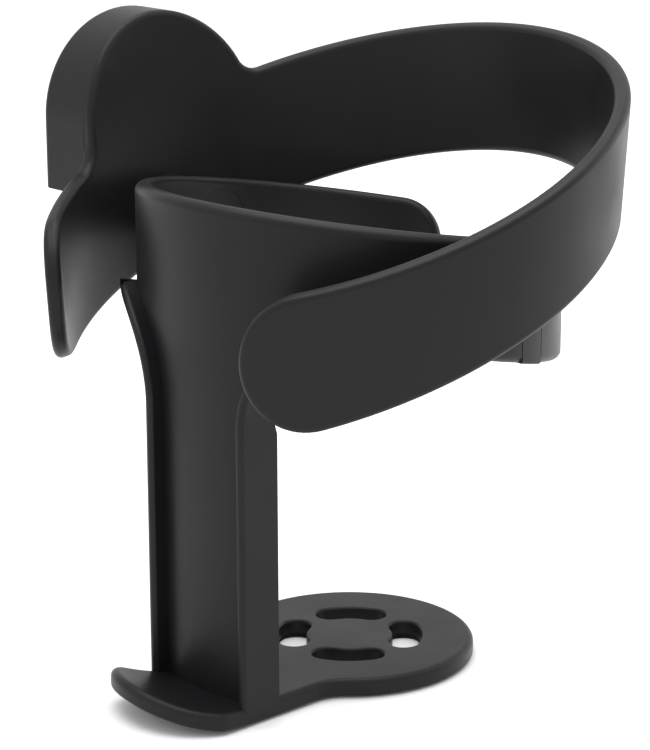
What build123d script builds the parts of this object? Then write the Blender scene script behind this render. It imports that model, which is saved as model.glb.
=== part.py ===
"""Swinging cup holder: a tapered grip band carries a cup frame on two pivots.

The origin is the centre of the foot pad's underside.  +Z is up, the column of
the cup frame stands on the -Y side and the clamp socket is on the -X side.
Every length is in millimetres and every angle in degrees.
"""

import math
import os

from build123d import *

# Cup frame: collar
COLLAR_RADIUS = 36.0
COLLAR_WALL = 2.8
RIM_HEIGHT = 80.2
RIM_SLOPE = 0.178
LOWER_HEIGHT = 59.8
LOWER_SLOPE = 0.235
COLLAR_GAP_HALF_ANGLE = 18.0
ARM_CORNER = 7.5
COLLAR_OUTER_ROUND = 1.5
COLLAR_INNER_ROUND = 1.0

# Cup frame: column and its two edge ribs
COLUMN_X = 2.15
COLUMN_HALF_WIDTH = 11.35
COLUMN_DEPTH_Y = -28.8
SIDE_WALL = 2.5
SIDE_WALL_FRONT_Y = -32.9
RIB_RADIUS = 38.8
RIB_WALL = 1.7
RIB_ROUND = 0.8
FLARE_RADIUS = 15.5
FLARE_HEIGHT = 51.0

# Cup frame: base disc, neck and the lip that curls up at the foot of the column
BASE_UNDERSIDE = 0.4
BASE_THICKNESS = 3.0
DISC_RADIUS = 21.8
NECK_FILLET = 7.0
LIP_REACH_Y = -49.2
LIP_FLARE = 2.2
BASE_STEP = 0.02
CURL_TURN = 15.0
CURL_START = 30.0
CURL_RADIUS = 40.0
CURL_ANGLE = 36.0
BASE_TOP_ROUND = 1.1
BASE_BOTTOM_ROUND = 0.5

# Foot pad and the ring of drain slots through the disc
PAD_RADIUS = 20.0
PAD_THICKNESS = 1.0
SLOT_COUNT = 4
SLOT_RADIUS = 10.2
SLOT_WIDTH = 5.2
SLOT_SPAN = 42.0
SLOT_START = 24.0
PAD_SLOT_MARGIN = 0.6

# Collar key, the strip that closes the assembly slot beside the side pivot
KEY_START = 97.5
KEY_END = 107.5
KEY_TOP = 67.0
KEY_GAP = 0.15
KEY_SIDE_GAP = 0.3

# Grip band
BAND_X = -2.5
BAND_Y = -2.0
BAND_OUTER = 49.3
BAND_WALL = 2.8
BAND_TAPER = 0.055
BAND_REFERENCE = 88.8
BAND_SLOPE = 0.35
BAND_LOWER_SLOPE = 0.375
BAND_LOWER_LEAN = 0.04
BAND_HEIGHT = 23.4
BAND_END_SOCKET = -36.0
BAND_END_FRONT = 29.4
BAND_END_UPPER = 11.0
BAND_END_LOWER = 10.6
BAND_ROUND = 1.0

# Socket housing on the band
HOOD_HALF_WIDTH = 18.4
HOOD_BACK = -60.6
HOOD_BOTTOM = 77.2
HOOD_TOP = 108.3
HOOD_WALL = 2.6
HOOD_ROUND = 1.6
HOOD_BLEND_FRONT = 5.0
HOOD_BLEND_REAR = 3.0
SOCKET_FRONT = -52.0
WINDOW_HALF_WIDTH = 5.0
WINDOW_BOTTOM = 81.4
WINDOW_TOP = 99.4
LINER_GAP = 0.1
LINER_WALL = 1.1

# Latch
LATCH_PIN_X = -59.3
LATCH_PIN_Z = 91.4
LATCH_PIN_RADIUS = 0.75
LATCH_PIN_HALF_LENGTH = 8.5
LATCH_PLATE = 2.1
SPRING_Z = 96.7
SPRING_RADIUS = 1.5
SPRING_WIRE = 0.22
SPRING_LENGTH = 4.4

# Swing pivots, both on one axis parallel to X
PIVOT_Z = 73.4
BOSS_RADIUS = 5.5
PIN_RADIUS = 2.5
PIN_SEAT = 35.5
PIN_SIDE_END = 43.4
PIN_REAR_END = 46.6
HEAD_RADIUS = 4.2
HEAD_THICKNESS = 1.25
CAP_RADIUS = 4.9
CAP_SEAT = 34.15
BUSH_RADIUS = 3.8
BUSH_BORE = 2.55
FLANGE_RADIUS = 5.2
FLANGE_THICKNESS = 0.8
COLLAR_BOSS_END = 38.0
WASHER_THICKNESS = 0.6
BAND_BOSS_FACE = 39.6
SEAT_GAP = 0.02

os.makedirs("parts", exist_ok=True)


def band_radius(height):
    """Outer radius of the tapered band at a height."""
    return BAND_OUTER + BAND_TAPER * (height - BAND_REFERENCE)


def band_rim(y):
    """Height of the band's top edge over a point of the Y axis."""
    return BAND_REFERENCE + BAND_SLOPE * (y - BAND_Y)


def plan_point(radius, angle, x=0.0, y=0.0):
    """Point at a plan angle measured from -Y towards +X about (x, y)."""
    turn = math.radians(angle)
    return (x + radius * math.sin(turn), y - radius * math.cos(turn))


def housing_outline(half_width, bottom):
    """Arched section of the socket housing: straight sides under a half circle."""
    springing = HOOD_TOP - HOOD_HALF_WIDTH
    with BuildSketch(mode=Mode.PRIVATE) as outline:
        with BuildLine():
            Polyline(
                (-half_width, springing), (-half_width, bottom), (half_width, bottom), (half_width, springing)
            )
            ThreePointArc((half_width, springing), (0, springing + half_width), (-half_width, springing))
        make_face()
    return outline.sketch


def slot_ring(width):
    """Ring of curved drain slots of one width."""
    with BuildSketch(mode=Mode.PRIVATE) as ring:
        for step in range(SLOT_COUNT):
            start = SLOT_START + step * 360 / SLOT_COUNT
            SlotArc(CenterArc((0, 0), SLOT_RADIUS, start, SLOT_SPAN, mode=Mode.PRIVATE), width)
    return ring.sketch


rim_plane = Plane(origin=(0, 0, RIM_HEIGHT), z_dir=(0, RIM_SLOPE, 1))
lower_plane = Plane(origin=(0, 0, LOWER_HEIGHT), z_dir=(0, LOWER_SLOPE, 1))
band_top = Plane(origin=(BAND_X, BAND_Y, BAND_REFERENCE), z_dir=(0, -BAND_SLOPE, 1))
band_bottom = Plane(
    origin=(BAND_X, BAND_Y, BAND_REFERENCE - BAND_HEIGHT), z_dir=(-BAND_LOWER_LEAN, -BAND_LOWER_SLOPE, 1)
)
inner_radius = COLLAR_RADIUS - COLLAR_WALL
floor_top = BASE_UNDERSIDE + BASE_THICKNESS
column_left = COLUMN_X - COLUMN_HALF_WIDTH
column_right = COLUMN_X + COLUMN_HALF_WIDTH

# Collar: a ring cut by two sloping planes and open on the +Y side
with BuildPart() as collar:
    with BuildSketch(Plane(origin=(0, 0, 40), x_dir=(0, 1, 0), z_dir=(0, 0, 1))):
        Circle(COLLAR_RADIUS)
        Circle(inner_radius, mode=Mode.SUBTRACT)
    extrude(amount=60)
    split(bisect_by=rim_plane, keep=Keep.BOTTOM)
    split(bisect_by=lower_plane, keep=Keep.TOP)
    with BuildSketch(Plane.XY.offset(40)):
        with BuildLine():
            Polyline(
                (0, 0),
                plan_point(60, 180 - COLLAR_GAP_HALF_ANGLE),
                plan_point(60, 180 + COLLAR_GAP_HALF_ANGLE),
                close=True,
            )
        make_face()
    extrude(amount=60, mode=Mode.SUBTRACT)
    arm_corners = [e for e in collar.edges().filter_by(GeomType.LINE) if e.length < 3.5]
    fillet(arm_corners, radius=ARM_CORNER)
    outer_edges = collar.edges().filter_by(
        lambda e: e.length > 3.5 and math.hypot((e @ 0.5).X, (e @ 0.5).Y) > COLLAR_RADIUS - 0.1
    )
    fillet(outer_edges, radius=COLLAR_OUTER_ROUND)
    inner_edges = collar.edges().filter_by(
        lambda e: e.length > 3.5 and math.hypot((e @ 0.5).X, (e @ 0.5).Y) < inner_radius + 0.1
    )
    fillet(inner_edges, radius=COLLAR_INNER_ROUND)
    with BuildSketch(Plane.XY.offset(40)):
        with BuildLine():
            Polyline(
                plan_point(30, KEY_START),
                plan_point(39, KEY_START),
                plan_point(39, KEY_END),
                plan_point(30, KEY_END),
                close=True,
            )
        make_face()
    extrude(amount=KEY_TOP - 40, mode=Mode.SUBTRACT)

# Silhouette of the column seen from the front, flared into the collar
with BuildSketch(Plane.XZ) as column_front:
    with BuildLine():
        flare_z = FLARE_HEIGHT + FLARE_RADIUS
        flare_left = column_left - FLARE_RADIUS
        flare_right = column_right + FLARE_RADIUS
        Polyline(
            (flare_left, flare_z), (flare_left, RIM_HEIGHT), (flare_right, RIM_HEIGHT), (flare_right, flare_z)
        )
        RadiusArc((flare_right, flare_z), (column_right, FLARE_HEIGHT), -FLARE_RADIUS)
        Polyline(
            (column_right, FLARE_HEIGHT), (column_right, -10), (column_left, -10), (column_left, FLARE_HEIGHT)
        )
        RadiusArc((column_left, FLARE_HEIGHT), (flare_left, flare_z), -FLARE_RADIUS)
    make_face()

# Curved outer wall of the column
with BuildPart() as column_skin:
    extrude(column_front.sketch, amount=45)
    with BuildSketch(Plane.XY.offset(BASE_UNDERSIDE + 1)):
        Circle(COLLAR_RADIUS)
        Circle(inner_radius, mode=Mode.SUBTRACT)
    extrude(amount=80, mode=Mode.INTERSECT)
    split(bisect_by=lower_plane.offset(4), keep=Keep.BOTTOM)

# Raised ribs that follow both edges of the column and end under the collar
with BuildPart() as column_ribs:
    extrude(column_front.sketch, amount=45)
    extrude(
        offset(column_front.sketch, amount=-RIB_WALL, mode=Mode.PRIVATE), amount=45, mode=Mode.SUBTRACT
    )
    with BuildSketch(Plane.XY.offset(BASE_UNDERSIDE + 1)):
        Circle(RIB_RADIUS)
        Circle(COLLAR_RADIUS - 1, mode=Mode.SUBTRACT)
    extrude(amount=80, mode=Mode.INTERSECT)
    split(bisect_by=lower_plane.offset(1.5), keep=Keep.BOTTOM)

with BuildPart() as column:
    add(column_skin.part)
    add(column_ribs.part)
    crests = column.edges().filter_by(
        lambda e: e.length > 20 and math.hypot((e @ 0.5).X, (e @ 0.5).Y) > RIB_RADIUS - 0.1
    )
    fillet(crests, radius=RIB_ROUND)

# Base: one plate for the disc, the neck and the lip, flat and then curled upwards
curl_way = plan_point(1, -CURL_TURN)
curl_plane = Plane(origin=(0, 0, 0), x_dir=(*curl_way, 0), z_dir=(curl_way[1], -curl_way[0], 0))


def curl_point(radius):
    """End of a curl's arc that starts on the plate's top or underside."""
    turn = math.radians(CURL_ANGLE)
    rise = floor_top + CURL_RADIUS - radius
    return (CURL_START + radius * math.sin(turn), rise + radius * (1 - math.cos(turn)))


def on_plate_face(edge, radius):
    """Tell whether an edge borders the plate's face that curls at a radius."""
    middle = edge @ 0.5
    along = curl_way[0] * middle.X + curl_way[1] * middle.Y - CURL_START
    rise = floor_top + CURL_RADIUS - radius
    if along > 0:
        rise += radius - math.sqrt(radius**2 - along**2)
    return abs(middle.Z - rise) < 0.02 and abs(along) > 0.01


with BuildPart() as base_plate:
    with BuildSketch(curl_plane):
        with BuildLine():
            under_radius = CURL_RADIUS + BASE_THICKNESS
            Line((-30, BASE_UNDERSIDE), (CURL_START, BASE_UNDERSIDE))
            RadiusArc((CURL_START, BASE_UNDERSIDE), curl_point(under_radius), -under_radius)
            Line(curl_point(under_radius), curl_point(CURL_RADIUS))
            RadiusArc((CURL_START, floor_top), curl_point(CURL_RADIUS), -CURL_RADIUS)
            Polyline((CURL_START, floor_top), (-30, floor_top), (-30, BASE_UNDERSIDE))
        make_face()
    extrude(amount=40, both=True)
    with BuildSketch() as base_outline:
        Circle(DISC_RADIUS)
        with BuildLine():
            base_left = column_left - BASE_STEP
            base_right = column_right + BASE_STEP
            lip_left = (base_left - LIP_FLARE, -44.0)
            lip_right = (base_right, -40.5)
            Polyline((base_left, -10), (base_left, -38), lip_left)
            ThreePointArc(lip_left, (COLUMN_X, LIP_REACH_Y), lip_right)
            Polyline(lip_right, (base_right, -10), (base_left, -10))
        make_face()
        fillet(base_outline.vertices().filter_by(lambda v: -20.5 < v.Y < -5), radius=NECK_FILLET)
        fillet(base_outline.vertices().filter_by(lambda v: -46 < v.Y < -43), radius=3.0)
        fillet(base_outline.vertices().filter_by(lambda v: -41.5 < v.Y < -39 and v.X > 10), radius=4.0)
    extrude(amount=30, mode=Mode.INTERSECT)
    fillet(base_plate.edges().filter_by(lambda e: on_plate_face(e, CURL_RADIUS)), radius=BASE_TOP_ROUND)
    fillet(
        base_plate.edges().filter_by(lambda e: on_plate_face(e, under_radius)), radius=BASE_BOTTOM_ROUND
    )
    with BuildSketch():
        add(slot_ring(SLOT_WIDTH))
    extrude(amount=10, mode=Mode.SUBTRACT)
    slot_edges = base_plate.edges().filter_by(
        lambda e: (e @ 0.5).Z > floor_top - 0.01 and 5 < math.hypot((e @ 0.5).X, (e @ 0.5).Y) < 15
    )
    fillet(slot_edges, radius=0.5)
    with BuildSketch():
        Circle(PAD_RADIUS + 0.05)
    extrude(amount=PAD_THICKNESS, mode=Mode.SUBTRACT)

# Cup frame: collar, column, base and lip in one moulding, with its pivot bosses
with BuildPart() as cup_frame:
    add(collar.part)
    add(column.part)
    add(base_plate.part)
    with BuildSketch(Plane.YZ.offset(column_right - SIDE_WALL), Plane.YZ.offset(column_left)):
        with BuildLine():
            Polyline(
                (SIDE_WALL_FRONT_Y, BASE_UNDERSIDE + 1),
                (COLUMN_DEPTH_Y, BASE_UNDERSIDE + 1),
                (COLUMN_DEPTH_Y, FLARE_HEIGHT - 2),
                (SIDE_WALL_FRONT_Y + 0.3, FLARE_HEIGHT + 11),
                (SIDE_WALL_FRONT_Y, FLARE_HEIGHT + 11),
                close=True,
            )
        make_face()
    extrude(amount=SIDE_WALL)
    with BuildSketch(Plane.YZ.offset(COLLAR_RADIUS - 1.5)):
        with Locations((0, PIVOT_Z)):
            Circle(BOSS_RADIUS)
    extrude(amount=COLLAR_BOSS_END - COLLAR_RADIUS + 1.5)
    with BuildSketch(Plane.YZ.offset(1.5 - COLLAR_RADIUS)):
        with Locations((0, PIVOT_Z)):
            Circle(BOSS_RADIUS)
    extrude(amount=COLLAR_RADIUS - COLLAR_BOSS_END - 1.5)
    for bore_radius, bore_end in (
        (PIN_RADIUS + SEAT_GAP, 50.0),
        (HEAD_RADIUS + 0.1, PIN_SEAT),
        (CAP_RADIUS + 0.05, CAP_SEAT),
    ):
        with BuildSketch(Plane.YZ):
            with Locations((0, PIVOT_Z)):
                Circle(bore_radius)
        extrude(amount=bore_end, both=True, mode=Mode.SUBTRACT)
cup_frame.part.label = "cup_frame"
export_step(cup_frame.part, "parts/cup_frame.step")

with BuildPart() as collar_key:
    with BuildSketch(Plane.XY.offset(40)):
        Circle(COLLAR_RADIUS)
        Circle(inner_radius, mode=Mode.SUBTRACT)
        with BuildLine():
            Polyline(
                plan_point(20, KEY_START + KEY_SIDE_GAP),
                plan_point(60, KEY_START + KEY_SIDE_GAP),
                plan_point(60, KEY_END - KEY_SIDE_GAP),
                plan_point(20, KEY_END - KEY_SIDE_GAP),
                close=True,
            )
        make_face(mode=Mode.INTERSECT)
    extrude(amount=KEY_TOP - KEY_GAP - 40)
    split(bisect_by=lower_plane, keep=Keep.TOP)
    fillet(collar_key.edges().sort_by(Axis.Z)[:4], radius=0.4)
collar_key.part.label = "collar_key"
export_step(collar_key.part, "parts/collar_key.step")

with BuildPart() as foot_pad:
    with BuildSketch():
        Circle(PAD_RADIUS)
        add(slot_ring(SLOT_WIDTH + PAD_SLOT_MARGIN), mode=Mode.SUBTRACT)
    extrude(amount=PAD_THICKNESS - SEAT_GAP)
    fillet(foot_pad.faces().sort_by(Axis.Z)[0].outer_wire().edges(), radius=0.3)
foot_pad.part.label = "foot_pad"
export_step(foot_pad.part, "parts/foot_pad.step")

# Space that the band may fill: between its two sloping planes, with rounded ends,
# and under the arch of the housing, which runs into the top edge on both sides
band_axis = Axis((BAND_X, BAND_Y, 0), (0, 0, 1))
band_section = Plane(origin=(BAND_X, BAND_Y, 0), x_dir=(0, -1, 0), z_dir=(-1, 0, 0))
with BuildPart() as band_space:
    with BuildSketch(Plane(origin=(BAND_X, BAND_Y, 20))):
        Circle(80)
        Circle(30, mode=Mode.SUBTRACT)
        with BuildLine():
            Polyline(
                (0, 0),
                plan_point(150, BAND_END_SOCKET),
                plan_point(150, (BAND_END_SOCKET + BAND_END_FRONT) / 2),
                plan_point(150, BAND_END_FRONT),
                close=True,
            )
        make_face(mode=Mode.SUBTRACT)
    extrude(amount=110)
    split(bisect_by=band_top, keep=Keep.BOTTOM)
    split(bisect_by=band_bottom, keep=Keep.TOP)
    end_corners = band_space.edges().filter_by(GeomType.LINE).filter_by(lambda e: e.length > 30)
    fillet(end_corners.sort_by(Axis.Z)[:2], radius=BAND_END_LOWER)
    end_corners = band_space.edges().filter_by(GeomType.LINE).filter_by(lambda e: e.length > 30)
    fillet(end_corners.sort_by(Axis.Z)[-2:], radius=BAND_END_UPPER)

with BuildPart() as arch_space:
    with BuildSketch(Plane.YZ.offset(-75)) as arch_outline:
        add(housing_outline(HOOD_HALF_WIDTH, HOOD_BOTTOM + 3))
        with BuildLine():
            Polyline(
                (-29, band_rim(-29)), (29, band_rim(29)), (29, band_rim(29) - 9), (-29, band_rim(-29) - 9),
                close=True,
            )
        make_face()
        fillet(
            arch_outline.vertices().filter_by(lambda v: -20 < v.X < -15 and 81 < v.Y < 85),
            radius=HOOD_BLEND_FRONT,
        )
        fillet(
            arch_outline.vertices().filter_by(lambda v: 15 < v.X < 20 and v.Y > 92),
            radius=HOOD_BLEND_REAR,
        )
    extrude(amount=45)

# Grip band: a tapered ring cut to that space, open towards -Y
with BuildPart() as ribbon:
    with BuildSketch(band_section):
        with BuildLine():
            Polyline(
                (band_radius(30) - BAND_WALL, 30),
                (band_radius(30), 30),
                (band_radius(120), 120),
                (band_radius(120) - BAND_WALL, 120),
                close=True,
            )
        make_face()
    revolve(axis=band_axis)
    add(band_space.part + arch_space.part, mode=Mode.INTERSECT)
    fillet(ribbon.edges().filter_by(lambda e: e.length > 3.5), radius=BAND_ROUND)

# Socket housing, which starts in the middle of the band's wall
with BuildPart() as hood:
    with BuildSketch(Plane.YZ.offset(HOOD_BACK)):
        add(housing_outline(HOOD_HALF_WIDTH, HOOD_BOTTOM))
    extrude(amount=12)
    fillet(hood.faces().sort_by(Axis.X)[0].edges(), radius=HOOD_ROUND)
    with BuildSketch(band_section):
        with BuildLine():
            Polyline(
                (0, 30),
                (band_radius(30) - BAND_WALL / 2, 30),
                (band_radius(120) - BAND_WALL / 2, 120),
                (0, 120),
                close=True,
            )
        make_face()
    revolve(axis=band_axis, mode=Mode.SUBTRACT)

with BuildPart() as grip_band:
    add(ribbon.part)
    add(hood.part)
    with BuildSketch(Plane.YZ.offset(HOOD_BACK + HOOD_WALL)):
        add(housing_outline(HOOD_HALF_WIDTH - HOOD_WALL, HOOD_BOTTOM - 1))
    extrude(amount=SOCKET_FRONT - HOOD_BACK - HOOD_WALL, mode=Mode.SUBTRACT)
    with BuildSketch(Plane.YZ.offset(HOOD_BACK - 1)):
        with Locations((0, (WINDOW_BOTTOM + WINDOW_TOP) / 2)):
            RectangleRounded(2 * WINDOW_HALF_WIDTH, WINDOW_TOP - WINDOW_BOTTOM, 1.5)
    extrude(amount=HOOD_WALL + 2, mode=Mode.SUBTRACT)
    with BuildSketch(Plane.XZ):
        with Locations((LATCH_PIN_X, LATCH_PIN_Z)):
            Circle(LATCH_PIN_RADIUS + 0.01)
    extrude(amount=LATCH_PIN_HALF_LENGTH, both=True, mode=Mode.SUBTRACT)
    with BuildSketch(Plane.YZ.offset(BAND_BOSS_FACE)):
        with Locations((0, PIVOT_Z)):
            Circle(BOSS_RADIUS)
    extrude(amount=4.5)
    with BuildSketch(Plane.YZ.offset(-BAND_BOSS_FACE)):
        with Locations((0, PIVOT_Z)):
            Circle(BOSS_RADIUS)
    extrude(amount=-9.5)
    with BuildSketch(Plane.YZ.offset(BAND_BOSS_FACE)):
        with Locations((0, PIVOT_Z)):
            Circle(BUSH_RADIUS + SEAT_GAP)
    extrude(amount=4.2, mode=Mode.SUBTRACT)
    with BuildSketch(Plane.YZ.offset(-BAND_BOSS_FACE)):
        with Locations((0, PIVOT_Z)):
            Circle(BUSH_RADIUS + SEAT_GAP)
    extrude(amount=-7.4, mode=Mode.SUBTRACT)
grip_band.part.label = "grip_band"
export_step(grip_band.part, "parts/grip_band.step")

# Flanged bushes pressed into the band's bosses: node name, side and length
for name, side, length in (("side_bush", 1, 4.0), ("rear_bush", -1, 7.2)):
    with BuildPart() as bush:
        with BuildSketch(Plane.YZ.offset(side * (BAND_BOSS_FACE - SEAT_GAP))):
            with Locations((0, PIVOT_Z)):
                Circle(FLANGE_RADIUS)
        extrude(amount=-side * FLANGE_THICKNESS)
        with BuildSketch(Plane.YZ.offset(side * (BAND_BOSS_FACE - 0.1))):
            with Locations((0, PIVOT_Z)):
                Circle(BUSH_RADIUS)
        extrude(amount=side * (length + 0.1))
        with BuildSketch(Plane.YZ):
            with Locations((0, PIVOT_Z)):
                Circle(BUSH_BORE)
        extrude(amount=side * 60, mode=Mode.SUBTRACT)
    bush.part.label = name
    export_step(bush.part, f"parts/{name}.step")

# Headed pivot pins pressed outwards through the collar: node name, side and end
for name, side, end in (("side_pin", 1, PIN_SIDE_END), ("rear_pin", -1, PIN_REAR_END)):
    with BuildPart() as pin:
        with BuildSketch(Plane.YZ.offset(side * (PIN_SEAT - SEAT_GAP))):
            with Locations((0, PIVOT_Z)):
                Circle(HEAD_RADIUS)
        extrude(amount=-side * HEAD_THICKNESS)
        with BuildSketch(Plane.YZ.offset(side * (PIN_SEAT - 0.5))):
            with Locations((0, PIVOT_Z)):
                Circle(PIN_RADIUS)
        extrude(amount=side * (end - PIN_SEAT + 0.5))
        pin_faces = pin.faces().sort_by(Axis.X)
        tip = pin_faces[-1 if side > 0 else 0]
        chamfer(tip.edges(), length=0.5)
    pin.part.label = name
    export_step(pin.part, f"parts/{name}.step")

# Plugs that close the pin recesses flush with the inside of the collar
with BuildPart() as pivot_caps:
    with BuildSketch(Plane.YZ.offset(CAP_SEAT - SEAT_GAP)):
        with Locations((0, PIVOT_Z)):
            Circle(CAP_RADIUS)
    extrude(amount=-3)
    with BuildSketch(Plane.YZ.offset(SEAT_GAP - CAP_SEAT)):
        with Locations((0, PIVOT_Z)):
            Circle(CAP_RADIUS)
    extrude(amount=3)
    with BuildSketch():
        Circle(inner_radius + SEAT_GAP)
    extrude(amount=100, mode=Mode.SUBTRACT)
pivot_caps.part.label = "pivot_caps"
export_step(pivot_caps.part, "parts/pivot_caps.step")

# One friction washer on each pivot
with BuildPart() as friction_washers:
    washer_face = COLLAR_BOSS_END + 0.05
    with BuildSketch(Plane.YZ.offset(washer_face), Plane.YZ.offset(-washer_face - WASHER_THICKNESS)):
        with Locations((0, PIVOT_Z)):
            Circle(BOSS_RADIUS - 0.5)
            Circle(PIN_RADIUS + 0.06, mode=Mode.SUBTRACT)
    extrude(amount=WASHER_THICKNESS)
friction_washers.part.label = "friction_washers"
export_step(friction_washers.part, "parts/friction_washers.step")

# Tray that lines the clamp socket and seats the latch spring
with BuildPart() as socket_liner:
    liner_half_width = HOOD_HALF_WIDTH - HOOD_WALL - LINER_GAP
    with BuildSketch(Plane.YZ.offset(HOOD_BACK + HOOD_WALL + LINER_GAP)):
        add(housing_outline(liner_half_width, HOOD_BOTTOM))
    extrude(amount=SOCKET_FRONT - HOOD_BACK - HOOD_WALL - 2 * LINER_GAP)
    with BuildSketch(Plane.YZ.offset(HOOD_BACK)):
        add(housing_outline(liner_half_width - LINER_WALL, HOOD_BOTTOM - 1))
    extrude(amount=SOCKET_FRONT - HOOD_BACK - LINER_GAP - LINER_WALL, mode=Mode.SUBTRACT)
    with BuildSketch(Plane.YZ.offset(SOCKET_FRONT - 0.6)):
        with Locations((0, SPRING_Z)):
            Circle(SPRING_RADIUS - 0.5)
    extrude(amount=-2.4)
socket_liner.part.label = "socket_liner"
export_step(socket_liner.part, "parts/socket_liner.step")

# Spring latch: a rocker in the housing's window
with BuildPart() as latch_lever:
    with BuildSketch(Plane.YZ.offset(HOOD_BACK + 0.3)):
        with Locations((0, (WINDOW_BOTTOM + WINDOW_TOP) / 2)):
            RectangleRounded(2 * WINDOW_HALF_WIDTH - 0.7, WINDOW_TOP - WINDOW_BOTTOM - 0.9, 1.3)
    extrude(amount=LATCH_PLATE)
    with BuildSketch(Plane.XZ):
        with BuildLine():
            Polyline(
                (HOOD_BACK + 2.2, WINDOW_BOTTOM + 0.9),
                (HOOD_BACK + 3.4, WINDOW_BOTTOM + 0.9),
                (HOOD_BACK + 4.8, WINDOW_BOTTOM + 2.6),
                (HOOD_BACK + 4.8, WINDOW_BOTTOM + 4.0),
                (HOOD_BACK + 2.2, WINDOW_BOTTOM + 4.0),
                close=True,
            )
        make_face()
    extrude(amount=WINDOW_HALF_WIDTH - 1, both=True)
    with BuildSketch(Plane.XZ):
        with Locations((LATCH_PIN_X, LATCH_PIN_Z)):
            Circle(LATCH_PIN_RADIUS + 0.05)
    extrude(amount=WINDOW_HALF_WIDTH, both=True, mode=Mode.SUBTRACT)
latch_lever.part.label = "latch_lever"
export_step(latch_lever.part, "parts/latch_lever.step")

with BuildPart() as latch_pin:
    with BuildSketch(Plane.XZ):
        with Locations((LATCH_PIN_X, LATCH_PIN_Z)):
            Circle(LATCH_PIN_RADIUS)
    extrude(amount=LATCH_PIN_HALF_LENGTH - 0.1, both=True)
latch_pin.part.label = "latch_pin"
export_step(latch_pin.part, "parts/latch_pin.step")

with BuildPart() as latch_spring:
    with BuildLine():
        coil = Helix(
            pitch=1.0,
            height=SPRING_LENGTH,
            radius=SPRING_RADIUS,
            center=(HOOD_BACK + 2.7, 0, SPRING_Z),
            direction=(1, 0, 0),
        )
    with BuildSketch(Plane(origin=coil @ 0, z_dir=coil % 0)):
        Circle(SPRING_WIRE)
    sweep(path=coil)
latch_spring.part.label = "latch_spring"
export_step(latch_spring.part, "parts/latch_spring.step")
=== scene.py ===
"""Studio scene of a swinging cup holder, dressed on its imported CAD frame.

A tapered grip band carries a clamp socket.  A collar with a column and a round
foot swings inside the band on two pivots.  Lengths are in metres.
"""

import logging
import math
from dataclasses import dataclass, field

import bpy
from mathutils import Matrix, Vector

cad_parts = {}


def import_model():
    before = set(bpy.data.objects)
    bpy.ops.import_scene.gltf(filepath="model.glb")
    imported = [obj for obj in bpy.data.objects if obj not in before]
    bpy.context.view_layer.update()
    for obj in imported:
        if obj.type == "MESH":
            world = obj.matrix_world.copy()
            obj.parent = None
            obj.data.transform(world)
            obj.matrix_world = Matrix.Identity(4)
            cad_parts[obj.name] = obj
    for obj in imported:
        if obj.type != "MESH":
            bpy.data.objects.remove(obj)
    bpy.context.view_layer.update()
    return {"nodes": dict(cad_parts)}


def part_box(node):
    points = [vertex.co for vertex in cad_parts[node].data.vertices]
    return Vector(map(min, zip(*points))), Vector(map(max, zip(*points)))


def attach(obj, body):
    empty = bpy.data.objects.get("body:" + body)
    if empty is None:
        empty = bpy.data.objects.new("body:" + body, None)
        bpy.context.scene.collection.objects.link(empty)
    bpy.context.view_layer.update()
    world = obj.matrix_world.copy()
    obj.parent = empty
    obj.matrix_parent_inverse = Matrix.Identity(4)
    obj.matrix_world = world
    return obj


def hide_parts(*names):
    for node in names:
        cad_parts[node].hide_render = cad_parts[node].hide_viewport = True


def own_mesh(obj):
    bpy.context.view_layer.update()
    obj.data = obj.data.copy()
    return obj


LOG = logging.getLogger("cup_holder")
MM = 0.001

# Places of the colour sockets on a Mix node set to RGBA
MIX_FIRST_COLOUR = 6
MIX_SECOND_COLOUR = 7
MIX_RESULT_COLOUR = 2


def linear_from_hex(code: str) -> tuple[float, float, float, float]:
    """Turn an sRGB hex colour into linear light.

    Args:
        code: Six hex digits, with or without a leading hash.

    Returns:
        Linear red, green, blue and an alpha of one.
    """
    digits = code.lstrip("#")
    channels = []
    for start in (0, 2, 4):
        value = int(digits[start:start + 2], 16) / 255.0
        low = value / 12.92
        high = ((value + 0.055) / 1.055) ** 2.4
        channels.append(low if value <= 0.04045 else high)
    return (channels[0], channels[1], channels[2], 1.0)


def scale_for(size_mm: float) -> float:
    """Texture scale that gives one feature per size_mm on metre coordinates."""
    return 1.0 / (size_mm * MM)


def add_node(tree: bpy.types.NodeTree, kind: str, settings: dict, links: dict) -> bpy.types.Node:
    """Add a shader node, set its values and link its inputs.

    Args:
        tree: Node tree that receives the node.
        kind: Blender's node type name.
        settings: Input socket names to values; names that start with a dot
            are attributes of the node itself.
        links: Input socket names to output sockets.

    Returns:
        The new node.
    """
    node = tree.nodes.new(kind)
    for name, value in settings.items():
        if name.startswith("."):
            setattr(node, name[1:], value)
        else:
            node.inputs[name].default_value = value
    for name, output in links.items():
        tree.links.new(output, node.inputs[name])
    return node


def blank_material(name: str) -> tuple[bpy.types.Material, bpy.types.NodeTree]:
    """Make a material whose tree holds only an output.

    Args:
        name: Name of the real material and its process.

    Returns:
        The material and its node tree.
    """
    material = bpy.data.materials.new(name)
    material.use_nodes = True
    tree = material.node_tree
    tree.nodes.clear()
    return material, tree


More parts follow.
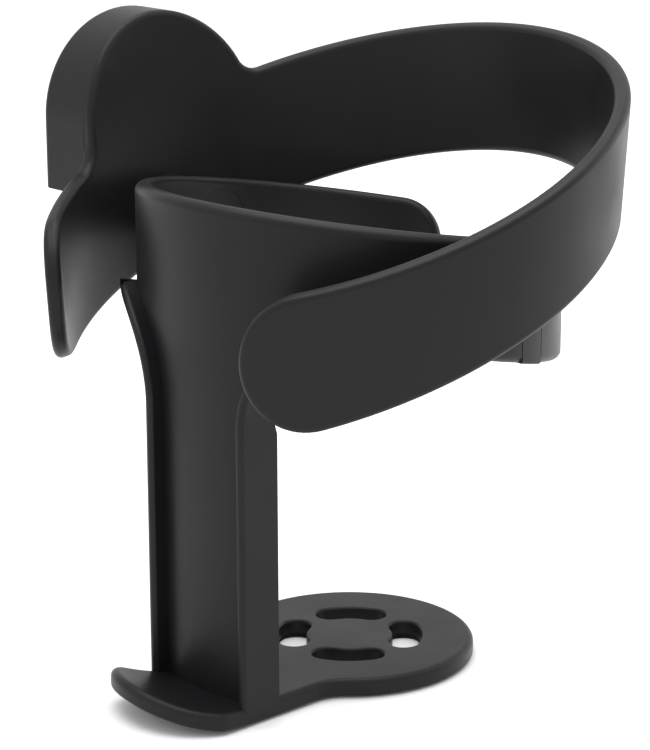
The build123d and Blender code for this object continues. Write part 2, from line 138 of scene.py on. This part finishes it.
@dataclass(frozen=True)
class MouldedPlastic:
    """Injection-moulded plastic with an eroded mould texture."""

    name: str
    colour: str
    shade: str
    roughness: float
    specular: float
    grain_mm: float
    grain_depth_mm: float
    cloud_mm: float
    gloss_spread: float = 0.05

    def build(self) -> bpy.types.Material:
        """Build the material.

        Returns:
            A plastic with slow colour drift, patchy gloss and fine grain.
        """
        material, tree = blank_material(self.name)
        coords = add_node(tree, "ShaderNodeTexCoord", {}, {})
        place = coords.outputs["Object"]
        cloud = add_node(
            tree, "ShaderNodeTexNoise",
            {"Scale": scale_for(self.cloud_mm), "Detail": 3.0, "Roughness": 0.55},
            {"Vector": place},
        )
        tint = add_node(
            tree, "ShaderNodeMix",
            {".data_type": "RGBA"},
            {"Factor": cloud.outputs["Fac"]},
        )
        tint.inputs[MIX_FIRST_COLOUR].default_value = linear_from_hex(self.shade)
        tint.inputs[MIX_SECOND_COLOUR].default_value = linear_from_hex(self.colour)
        grain = add_node(
            tree, "ShaderNodeTexNoise",
            {"Scale": scale_for(self.grain_mm), "Detail": 2.0, "Roughness": 0.6},
            {"Vector": place},
        )
        gloss = add_node(
            tree, "ShaderNodeMapRange",
            {
                "From Min": 0.3, "From Max": 0.7,
                "To Min": self.roughness - self.gloss_spread,
                "To Max": self.roughness + self.gloss_spread,
            },
            {"Value": cloud.outputs["Fac"]},
        )
        bump = add_node(
            tree, "ShaderNodeBump",
            {"Strength": 1.0, "Distance": self.grain_depth_mm * MM},
            {"Height": grain.outputs["Fac"]},
        )
        shader = add_node(
            tree, "ShaderNodeBsdfPrincipled",
            {"Specular IOR Level": self.specular, "IOR": 1.5},
            {
                "Base Color": tint.outputs[MIX_RESULT_COLOUR],
                "Roughness": gloss.outputs["Result"],
                "Normal": bump.outputs["Normal"],
            },
        )
        add_node(tree, "ShaderNodeOutputMaterial", {}, {"Surface": shader.outputs["BSDF"]})
        return material


@dataclass(frozen=True)
class WorkedSteel:
    """Plain steel with the marks that turning or drawing leaves."""

    name: str
    colour: str
    roughness: float
    mark_mm: float
    mark_depth_mm: float
    stretch: tuple[float, float, float]
    gloss_spread: float = 0.08

    def build(self) -> bpy.types.Material:
        """Build the material.

        Returns:
            A metal whose fine marks run along its length.
        """
        material, tree = blank_material(self.name)
        coords = add_node(tree, "ShaderNodeTexCoord", {}, {})
        turned = add_node(
            tree, "ShaderNodeMapping", {"Scale": self.stretch},
            {"Vector": coords.outputs["Object"]},
        )
        marks = add_node(
            tree, "ShaderNodeTexNoise",
            {"Scale": scale_for(self.mark_mm), "Detail": 4.0, "Roughness": 0.65},
            {"Vector": turned.outputs["Vector"]},
        )
        gloss = add_node(
            tree, "ShaderNodeMapRange",
            {"To Min": self.roughness - self.gloss_spread, "To Max": self.roughness + self.gloss_spread},
            {"Value": marks.outputs["Fac"]},
        )
        bump = add_node(
            tree, "ShaderNodeBump",
            {"Strength": 1.0, "Distance": self.mark_depth_mm * MM},
            {"Height": marks.outputs["Fac"]},
        )
        shader = add_node(
            tree, "ShaderNodeBsdfPrincipled",
            {"Base Color": linear_from_hex(self.colour), "Metallic": 1.0},
            {"Roughness": gloss.outputs["Result"], "Normal": bump.outputs["Normal"]},
        )
        add_node(tree, "ShaderNodeOutputMaterial", {}, {"Surface": shader.outputs["BSDF"]})
        return material


# Glass-filled nylon, moulded in an eroded tool: a charcoal satin that keeps
# soft highlights on its rounded edges.  The grain is drawn at 0.5 mm, coarser
# than the real 0.1 mm, so that it shows.
CHARCOAL_NYLON = MouldedPlastic(
    "charcoal nylon, injection moulded, eroded texture",
    colour="#19191b", shade="#151517", roughness=0.4, specular=0.2,
    grain_mm=0.5, grain_depth_mm=0.012, cloud_mm=14.0,
)
# Thermoplastic rubber, moulded: duller than the nylon above it.  Its grain is
# coarser than the real one, so that it shows.
FOOT_RUBBER = MouldedPlastic(
    "black thermoplastic rubber, compression moulded",
    colour="#161616", shade="#111111", roughness=0.82, specular=0.3,
    grain_mm=0.7, grain_depth_mm=0.02, cloud_mm=8.0,
)
# Acetal, moulded in a polished tool: milky and slick, a bearing plastic.  Its
# faint waviness is coarser than the real one, so that it shows.
BUSH_ACETAL = MouldedPlastic(
    "natural acetal, injection moulded, polished",
    colour="#dedbd2", shade="#d2cec3", roughness=0.3, specular=0.5,
    grain_mm=0.9, grain_depth_mm=0.003, cloud_mm=6.0,
)
# Black acetal, moulded: glossier than the nylon housing, with the same coarse
# waviness as the natural acetal.
LINER_ACETAL = MouldedPlastic(
    "black acetal, injection moulded, satin",
    colour="#262628", shade="#202022", roughness=0.34, specular=0.5,
    grain_mm=0.9, grain_depth_mm=0.004, cloud_mm=7.0,
)
# Stainless steel, turned: fine rings round the pin's X axis, drawn wider apart
# than real tool marks so that they show.
PIN_STEEL = WorkedSteel(
    "stainless steel, turned",
    colour="#b9bbbd", roughness=0.28, mark_mm=1.2, mark_depth_mm=0.004,
    stretch=(8.0, 1.0, 1.0),
)
# Spring wire, drawn: faint marks, drawn coarse so that they show, on a metal a
# little darker than the pins.
WIRE_STEEL = WorkedSteel(
    "spring steel wire, drawn",
    colour="#9b9da0", roughness=0.33, mark_mm=0.8, mark_depth_mm=0.003,
    stretch=(3.0, 1.0, 1.0),
)


def dress(node: bpy.types.Object, material: bpy.types.Material) -> None:
    """Give a CAD node one material over its whole surface."""
    node.data.materials.clear()
    node.data.materials.append(material)
    for polygon in node.data.polygons:
        polygon.material_index = 0
    LOG.info("dressed %s in %s", node.name, material.name)


@dataclass
class LatchSpring:
    """Coil between the latch lever and the liner, wound at one fixed length; the real spring shortens as
    the latch is pressed.
    """

    node: str = "latch_spring"
    wire_radius: float = 0.22 * MM
    wire_sides: int = 14
    turns: float = 4.4
    windings: int = 4
    steps_per_winding: int = 36
    smooth_angle: float = 40.0
    quarter_turn: float = 90.0
    pressed_share: float = 0.83

    def build(self, material: bpy.types.Material) -> bpy.types.Object:
        """Wind the coil in the space of its CAD solid.

        Args:
            material: Finish of the wire.

        Returns:
            The finished coil, riding on the band.
        """
        low, high = (Vector(corner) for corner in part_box(self.node))
        middle = (low + high) / 2.0
        coil_radius = (high.z - low.z) / 2.0 - self.wire_radius
        length = high.x - low.x - 2.0 * self.wire_radius
        bpy.ops.object.select_all(action="DESELECT")
        bpy.ops.mesh.primitive_circle_add(
            vertices=self.wire_sides, radius=self.wire_radius,
            location=(low.x + self.wire_radius, middle.y, middle.z),
            rotation=(math.radians(self.quarter_turn), 0.0, 0.0),
        )
        coil = bpy.context.active_object
        coil.name = "latch_spring_coil"
        bpy.ops.object.transform_apply(location=False, rotation=True, scale=False)
        bpy.ops.object.mode_set(mode="EDIT")
        bpy.ops.mesh.select_all(action="SELECT")
        bpy.ops.transform.translate(value=(0.0, 0.0, coil_radius))
        bpy.ops.object.mode_set(mode="OBJECT")
        winding = coil.modifiers.new("winding", "SCREW")
        winding.axis = "X"
        winding.iterations = self.windings
        winding.angle = math.tau * self.turns / self.windings
        winding.screw_offset = length / self.windings
        winding.steps = self.steps_per_winding
        winding.render_steps = self.steps_per_winding
        bpy.ops.object.modifier_apply(modifier="winding")
        bpy.ops.object.mode_set(mode="EDIT")
        bpy.ops.mesh.select_all(action="DESELECT")
        bpy.ops.mesh.select_non_manifold()
        bpy.ops.mesh.fill_holes(sides=self.wire_sides)
        bpy.ops.mesh.select_all(action="SELECT")
        bpy.ops.mesh.normals_make_consistent(inside=False)
        bpy.ops.object.mode_set(mode="OBJECT")
        bpy.ops.object.shade_smooth_by_angle(angle=math.radians(self.smooth_angle))
        bpy.ops.object.transform_apply(location=True, rotation=False, scale=False)
        coil.data.materials.append(material)
        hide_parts(self.node)
        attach(coil, "band")
        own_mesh(coil)
        LOG.info("wound %s, %.1f turns", coil.name, self.turns)
        return coil


@dataclass
class Holder:
    """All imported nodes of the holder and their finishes."""

    nodes: dict[str, bpy.types.Object]
    finishes: dict[MouldedPlastic | WorkedSteel, tuple[str, ...]] = field(default_factory=lambda: {
        CHARCOAL_NYLON: ("cup_frame", "collar_key", "pivot_caps", "grip_band", "latch_lever"),
        FOOT_RUBBER: ("foot_pad",),
        BUSH_ACETAL: ("side_bush", "rear_bush", "friction_washers"),
        LINER_ACETAL: ("socket_liner",),
        PIN_STEEL: ("side_pin", "rear_pin", "latch_pin"),
        WIRE_STEEL: ("latch_spring",),
    })

    def build(self) -> None:
        """Dress every node in its finish and wind the spring."""
        for finish, names in self.finishes.items():
            material = finish.build()
            for name in names:
                dress(self.nodes[name], material)
            if LatchSpring.node in names:
                LatchSpring().build(material)


@dataclass(frozen=True)
class SoftBox:
    """One rectangular soft light aimed at the middle of the holder."""

    name: str
    place: tuple[float, float, float]
    width: float
    height: float
    power: float
    aim: tuple[float, float, float] = (0.0, 0.0, 0.06)

    def hang(self) -> None:
        """Hang the box, its face turned to what it lights."""
        lamp = bpy.data.lights.new(self.name, "AREA")
        lamp.shape = "RECTANGLE"
        lamp.size = self.width
        lamp.size_y = self.height
        lamp.energy = self.power
        stand = bpy.data.objects.new(self.name, lamp)
        bpy.context.scene.collection.objects.link(stand)
        stand.location = self.place
        direction = Vector(self.aim) - Vector(self.place)
        stand.rotation_euler = direction.to_track_quat("-Z", "Y").to_euler()
        LOG.info("light %s %.1f W", self.name, self.power)


@dataclass
class Studio:
    """White sweep, soft boxes and the camera."""

    boxes: tuple[SoftBox, ...] = (
        SoftBox("top_box", (0.0, 0.0, 0.9), 0.9, 0.9, 7.5),
        SoftBox("side_box", (0.2, 0.8, 0.3), 0.4, 0.8, 1.2),
        SoftBox("fill_box", (-0.3, -0.95, 0.5), 0.6, 0.6, 0.5),
    )
    room_colour: tuple[float, float, float, float] = (1.0, 1.0, 1.0, 1.0)
    room_strength: float = 1.0
    floor_size: float = 40.0
    fibre_mm: float = 30.0
    floor_colour: str = "#f4f4f4"
    camera_azimuth: float = 46.5
    camera_pitch: float = 15.5
    camera_reach: float = 0.4297
    camera_height: float = 0.1698
    sensor_height: float = 36.0
    focal_ratio: float = 2600.0 / 750.0
    aim_shift: float = -24.5 / 750.0
    near_clip: float = 0.01
    far_clip: float = 50.0

    def build_floor(self) -> None:
        """Make the white floor that the holder stands on."""
        bpy.ops.object.select_all(action="DESELECT")
        bpy.ops.mesh.primitive_plane_add(size=self.floor_size, location=(0.0, 0.0, 0.0))
        floor = bpy.context.active_object
        floor.name = "studio_floor"
        material, tree = blank_material("white paper sweep")
        coords = add_node(tree, "ShaderNodeTexCoord", {}, {})
        fibre = add_node(
            tree, "ShaderNodeTexNoise", {"Scale": scale_for(self.fibre_mm), "Detail": 2.0},
            {"Vector": coords.outputs["Object"]},
        )
        gloss = add_node(
            tree, "ShaderNodeMapRange", {"To Min": 0.8, "To Max": 0.9},
            {"Value": fibre.outputs["Fac"]},
        )
        shader = add_node(
            tree, "ShaderNodeBsdfPrincipled",
            {"Base Color": linear_from_hex(self.floor_colour), "Specular IOR Level": 0.1},
            {"Roughness": gloss.outputs["Result"]},
        )
        add_node(tree, "ShaderNodeOutputMaterial", {}, {"Surface": shader.outputs["BSDF"]})
        floor.data.materials.append(material)
        LOG.info("floor %.1f m", self.floor_size)

    def build_lights(self) -> None:
        """Hang the soft boxes and light the room."""
        bpy.context.scene.view_settings.view_transform = "Standard"
        world = bpy.data.worlds.new("studio_room")
        bpy.context.scene.world = world
        world.use_nodes = True
        background = world.node_tree.nodes["Background"]
        background.inputs["Color"].default_value = self.room_colour
        background.inputs["Strength"].default_value = self.room_strength
        for box in self.boxes:
            box.hang()

    def build_camera(self) -> None:
        """Stand the camera off the front right, looking slightly down."""
        turn = math.radians(self.camera_azimuth)
        data = bpy.data.cameras.new("camera")
        data.sensor_fit = "VERTICAL"
        data.sensor_height = self.sensor_height
        data.lens = self.focal_ratio * self.sensor_height
        data.shift_x = self.aim_shift
        data.clip_start = self.near_clip
        data.clip_end = self.far_clip
        camera = bpy.data.objects.new("camera", data)
        bpy.context.scene.collection.objects.link(camera)
        camera.location = (
            self.camera_reach * math.sin(turn),
            -self.camera_reach * math.cos(turn),
            self.camera_height,
        )
        camera.rotation_euler = (math.radians(90.0 - self.camera_pitch), 0.0, turn)
        bpy.context.scene.camera = camera
        LOG.info("camera at %s", tuple(round(v, 3) for v in camera.location))

    def build(self) -> None:
        """Build the floor, the lights and the camera."""
        self.build_floor()
        self.build_lights()
        self.build_camera()


def main() -> None:
    """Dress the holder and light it."""
    logging.basicConfig(level=logging.INFO, format="%(message)s")
    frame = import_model()
    Holder(frame["nodes"]).build()
    Studio().build()


if __name__ == "__main__":
    main()
